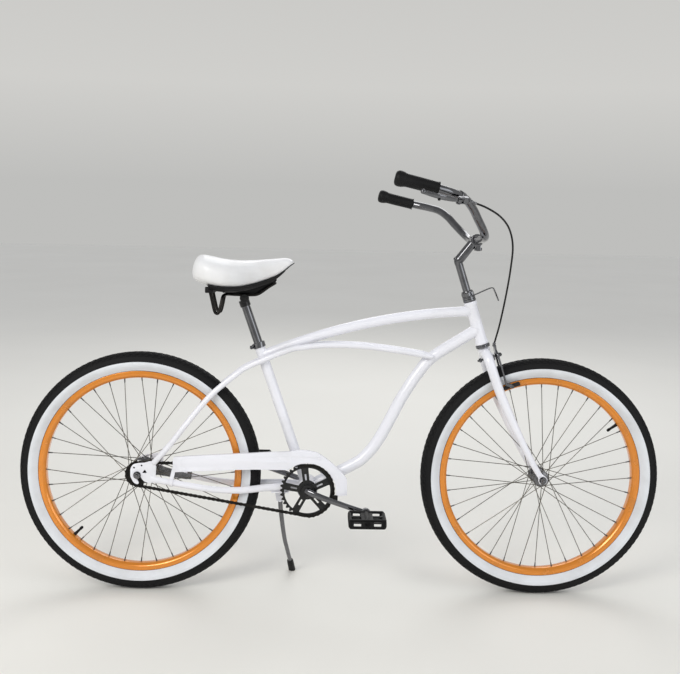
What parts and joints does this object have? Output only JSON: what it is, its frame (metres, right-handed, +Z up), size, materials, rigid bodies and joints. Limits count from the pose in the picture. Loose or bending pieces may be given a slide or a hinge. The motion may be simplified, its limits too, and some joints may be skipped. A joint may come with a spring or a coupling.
{
  "type": "beach cruiser bicycle",
  "caption": "Beach cruiser bicycle with a curved twin-stay frame, high pulled-back bar, wide sprung saddle, chain drive with guard, front rim brake and side stand.",
  "frame": {"origin": "on the floor, under the middle of the bounding box of the standing bicycle", "axes": "+X forwards, towards the front wheel, and the longest extent; +Y to the rider's left; +Z up. The bicycle leans 4.5 degrees to its left on its side stand, as in the picture"},
  "size_m": [1.7868, 0.723, 1.1721],
  "materials": {
    "white_paint": "gloss",
    "orange_paint": "gloss anodised look",
    "chrome": "polished plating",
    "steel": "satin, drawn",
    "dark_steel": "oiled",
    "black_paint": "satin",
    "tyre_rubber": "matt with a white side band",
    "grip_rubber": "matt",
    "black_plastic": "satin",
    "saddle_cover": "satin, smooth",
    "brake_rubber": "matt"
  },
  "bodies": {
    "frame": {"bottom_bracket_shell": "white_paint", "chain": "dark_steel", "chain_guard": "white_paint", "chainstay_left": "white_paint", "chainstay_right": "white_paint", "coaster_arm": "steel", "crank_cup_left": "chrome", "crank_cup_right": "chrome", "down_tube": "white_paint", "guard_front_bracket": "white_paint", "guard_rear_bracket": "white_paint", "head_tube": "white_paint", "headset_cup_lower": "chrome", "headset_cup_upper": "chrome", "kickstand_bracket": "dark_steel", "long_stay_left": "white_paint", "long_stay_right": "white_paint", "rear_axle": "chrome", "seat_clamp": "chrome", "seat_tube": "white_paint", "top_tube": "white_paint"},
    "steering": {"brake_cable": "black_plastic", "caliper_bolt": "chrome", "fork": "white_paint", "front_axle": "chrome", "grip_left": "grip_rubber", "grip_right": "grip_rubber", "handlebar": "chrome", "headset_locknut": "chrome", "lever_clamp": "chrome", "reflector_bracket": "chrome", "stem": "chrome"},
    "front_wheel": {"front_hub": "steel", "front_rim": "orange_paint", "front_tyre": "tyre_rubber", "front_valve": "black_plastic"},
    "brake_lever": {"brake_lever": "chrome"},
    "caliper_right": {"brake_pad_right": "brake_rubber", "caliper_arm_right": "chrome"},
    "caliper_left": {"brake_pad_left": "brake_rubber", "caliper_arm_left": "chrome"},
    "rear_wheel": {"rear_hub": "steel", "rear_rim": "orange_paint", "rear_tyre": "tyre_rubber", "rear_valve": "black_plastic"},
    "rear_driver": {"rear_sprocket": "steel"},
    "crank": {"chainring": "black_paint", "crank": "chrome", "pedal_spindle_left": "steel", "pedal_spindle_right": "steel"},
    "pedal_right": {"pedal_right": "black_plastic"},
    "pedal_left": {"pedal_left": "black_plastic"},
    "kickstand": {"kickstand_foot": "black_plastic", "kickstand_leg": "steel"},
    "seat": {"saddle_base": "black_plastic", "saddle_clamp": "steel", "saddle_cover": "saddle_cover", "saddle_rails": "dark_steel", "seatpost": "chrome"}
  },
  "joints": [
    {"name": "steering_turn", "type": "hinge", "parent": "frame", "child": "steering", "pos_m": [0.34963, -0.00325, 0.82157], "axis": [-0.309, 0.0746, 0.9481], "range_deg": [-70, 70]},
    {"name": "front_wheel_spin", "type": "hinge", "parent": "steering", "child": "front_wheel", "pos_m": [0.559, -0.04161, 0.33404], "axis": [0, 0.9969, -0.0785], "continuous": true},
    {"name": "brake_lever_pull", "type": "hinge", "parent": "steering", "child": "brake_lever", "pos_m": [0.26583, -0.30003, 1.10365], "axis": [-0.1865, 0.369, -0.9105], "range_deg": [0, 17], "stiffness_Nm_per_rad": 1.2, "springref_deg": -8.59},
    {"name": "caliper_right_close", "type": "hinge", "parent": "steering", "child": "caliper_right", "pos_m": [0.42987, -0.01488, 0.67377], "axis": [0.9511, 0.0242, 0.3081], "range_deg": [0, 1.6]},
    {"name": "caliper_left_close", "type": "hinge", "parent": "steering", "child": "caliper_left", "pos_m": [0.42987, -0.01488, 0.67377], "axis": [0.9511, 0.0242, 0.3081], "range_deg": [-1.6, 0]},
    {"name": "rear_wheel_spin", "type": "hinge", "parent": "frame", "child": "rear_wheel", "pos_m": [-0.559, -0.04161, 0.33404], "axis": [0, 0.9969, -0.0785], "continuous": true},
    {"name": "rear_driver_spin", "type": "hinge", "parent": "frame", "child": "rear_driver", "pos_m": [-0.559, -0.08647, 0.33757], "axis": [0, 0.9969, -0.0785], "continuous": true},
    {"name": "crank_spin", "type": "hinge", "parent": "frame", "child": "crank", "pos_m": [-0.09301, -0.04475, 0.29417], "axis": [0, 0.9969, -0.0785], "continuous": true},
    {"name": "pedal_right_spin", "type": "hinge", "parent": "crank", "child": "pedal_right", "pos_m": [0.06867, -0.04887, 0.24179], "axis": [0, 0.9969, -0.0785], "continuous": true},
    {"name": "pedal_left_spin", "type": "hinge", "parent": "crank", "child": "pedal_left", "pos_m": [-0.25469, -0.04063, 0.34654], "axis": [0, 0.9969, -0.0785], "continuous": true},
    {"name": "kickstand_swing", "type": "hinge", "parent": "frame", "child": "kickstand", "pos_m": [-0.17001, -0.01882, 0.25401], "axis": [0, 0.9969, -0.0785], "range_deg": [0, 95]},
    {"name": "seat_height", "type": "slide", "parent": "frame", "child": "seat", "axis": [-0.3338, 0.074, 0.9397], "range_m": [-0.03, 0.07]}
  ],
  "couplings": [
    {"joint": "caliper_right_close", "follows": "brake_lever_pull", "ratio": 0.094},
    {"joint": "caliper_left_close", "follows": "brake_lever_pull", "ratio": -0.094},
    {"joint": "rear_driver_spin", "follows": "crank_spin", "ratio": 2.25}
  ]
}
